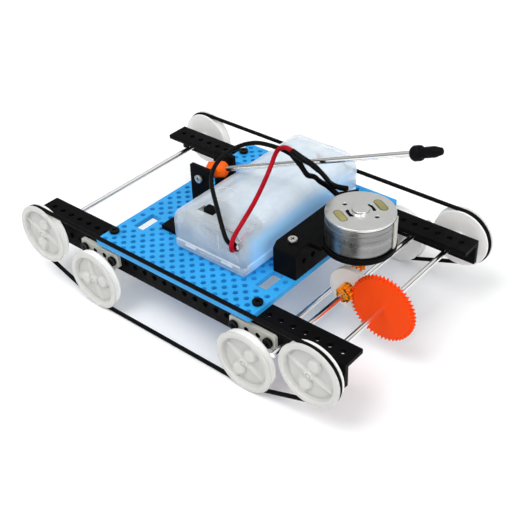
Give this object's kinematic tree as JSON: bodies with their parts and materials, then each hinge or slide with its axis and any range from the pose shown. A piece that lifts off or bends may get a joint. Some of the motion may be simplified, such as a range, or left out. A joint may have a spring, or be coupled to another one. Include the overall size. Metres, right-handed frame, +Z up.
{
  "type": "tracked robot kit car",
  "caption": "Small battery-driven car with perforated rails and deck, pulley wheels joined by round belts, a geared vertical motor, a clear battery box and a tilting barrel.",
  "frame": {"origin": "on the ground, midway between the four end wheels", "axes": "+X forward, towards the motor end; +Y to the car's left; +Z up"},
  "size_m": [0.1559, 0.0994, 0.0865],
  "materials": {
    "deck_blue": "satin moulded, bright blue",
    "black_plastic": "satin moulded, black",
    "light_plastic": "satin moulded, warm light grey",
    "wheel_plastic": "translucent off-white moulding",
    "clear_plastic": "clear polystyrene, slightly frosted inside",
    "red_gear": "satin orange-red",
    "amber_gear": "satin amber",
    "milky_gear": "translucent milky white",
    "bush_orange": "satin orange",
    "steel": "drawn bright steel",
    "can_steel": "satin zinc-plated steel",
    "bright_screw": "nickel plated",
    "black_screw": "black oxide",
    "belt_rubber": "matt black",
    "muzzle_rubber": "satin black",
    "lead_black": "satin black insulation",
    "lead_red": "satin red insulation",
    "cell_wrap": "plain pale metallic wrap",
    "contact": "nickel plated strip",
    "copper": "copper",
    "bronze": "sintered bronze",
    "ferrite": "ferrite"
  },
  "bodies": {
    "chassis": {"base_plate": "deck_blue", "rail_right": "black_plastic", "rail_left": "black_plastic", "hanger_rear_right": "light_plastic", "hanger_rear_left": "light_plastic", "hanger_front_right": "light_plastic", "hanger_front_left": "light_plastic", "black_screws": "black_screw", "bright_screws": "bright_screw", "nuts": "contact", "battery_tray": "clear_plastic", "battery_lid": "clear_plastic", "battery_cell_rear": "cell_wrap", "battery_cell_front": "cell_wrap", "contact_plates": "contact", "contact_springs": "contact", "switch_body": "black_plastic", "motor_holder": "black_plastic", "motor_can": "can_steel", "motor_cap": "can_steel", "motor_bushes": "bronze", "motor_magnets": "ferrite", "motor_brushes": "contact", "terminal_block": "black_plastic", "terminal_tags": "contact", "can_strip": "light_plastic", "gun_base": "black_plastic", "gun_bracket": "black_plastic", "gun_pivot_screw": "bright_screw", "belt_right": "belt_rubber", "belt_left": "belt_rubber", "lead_black": "lead_black", "lead_red": "lead_red", "sleeve_front": "lead_black", "sleeve_rear": "lead_black"},
    "front_axle": {"axle_front_upper": "steel", "wheel_front_upper_right": "wheel_plastic", "wheel_front_upper_left": "wheel_plastic", "drive_gear": "red_gear"},
    "rear_axle": {"axle_rear_upper": "steel", "wheel_rear_upper_right": "wheel_plastic", "wheel_rear_upper_left": "wheel_plastic"},
    "front_lower_axle": {"axle_front_lower": "steel", "wheel_front_lower_right": "wheel_plastic", "wheel_front_lower_left": "wheel_plastic"},
    "rear_lower_axle": {"axle_rear_lower": "steel", "wheel_rear_lower_right": "wheel_plastic", "wheel_rear_lower_left": "wheel_plastic"},
    "lay_axle": {"layshaft": "steel", "lay_pinion": "amber_gear", "crown_gear": "milky_gear"},
    "motor_rotor": {"motor_shaft": "steel", "motor_pinion": "amber_gear", "rotor_core": "can_steel", "rotor_windings": "copper", "commutator": "copper"},
    "gun": {"gun_bush": "bush_orange", "gun_barrel": "steel", "gun_muzzle": "muzzle_rubber"},
    "power_switch": {"switch_knob": "black_plastic"}
  },
  "joints": [
    {"name": "front_axle_spin", "type": "hinge", "parent": "chassis", "child": "front_axle", "pos_m": [0.065, 0, 0.02225], "axis": [0, 1, 0], "continuous": true},
    {"name": "rear_axle_spin", "type": "hinge", "parent": "chassis", "child": "rear_axle", "pos_m": [-0.065, 0, 0.02225], "axis": [0, 1, 0], "continuous": true},
    {"name": "front_lower_spin", "type": "hinge", "parent": "chassis", "child": "front_lower_axle", "pos_m": [0.0375, 0, 0.01225], "axis": [0, 1, 0], "continuous": true},
    {"name": "rear_lower_spin", "type": "hinge", "parent": "chassis", "child": "rear_lower_axle", "pos_m": [-0.0375, 0, 0.01225], "axis": [0, 1, 0], "continuous": true},
    {"name": "layshaft_spin", "type": "hinge", "parent": "chassis", "child": "lay_axle", "pos_m": [0.05, 0, 0.02225], "axis": [0, 1, 0], "continuous": true},
    {"name": "motor_spin", "type": "hinge", "parent": "chassis", "child": "motor_rotor", "pos_m": [0.05, 0, 0.045], "axis": [0, 0, 1], "continuous": true},
    {"name": "gun_pitch", "type": "hinge", "parent": "chassis", "child": "gun", "pos_m": [-0.0175, 0, 0.04485], "axis": [0, -1, 0], "range_deg": [-2, 35]},
    {"name": "switch_slide", "type": "slide", "parent": "chassis", "child": "power_switch", "axis": [-1, 0, 0], "range_m": [0, 0.0025]}
  ],
  "couplings": [
    {"joint": "layshaft_spin", "follows": "motor_spin", "ratio": 0.25},
    {"joint": "front_axle_spin", "follows": "motor_spin", "ratio": -0.05},
    {"joint": "rear_axle_spin", "follows": "motor_spin", "ratio": -0.05},
    {"joint": "front_lower_spin", "follows": "motor_spin", "ratio": -0.05},
    {"joint": "rear_lower_spin", "follows": "motor_spin", "ratio": -0.05}
  ]
}
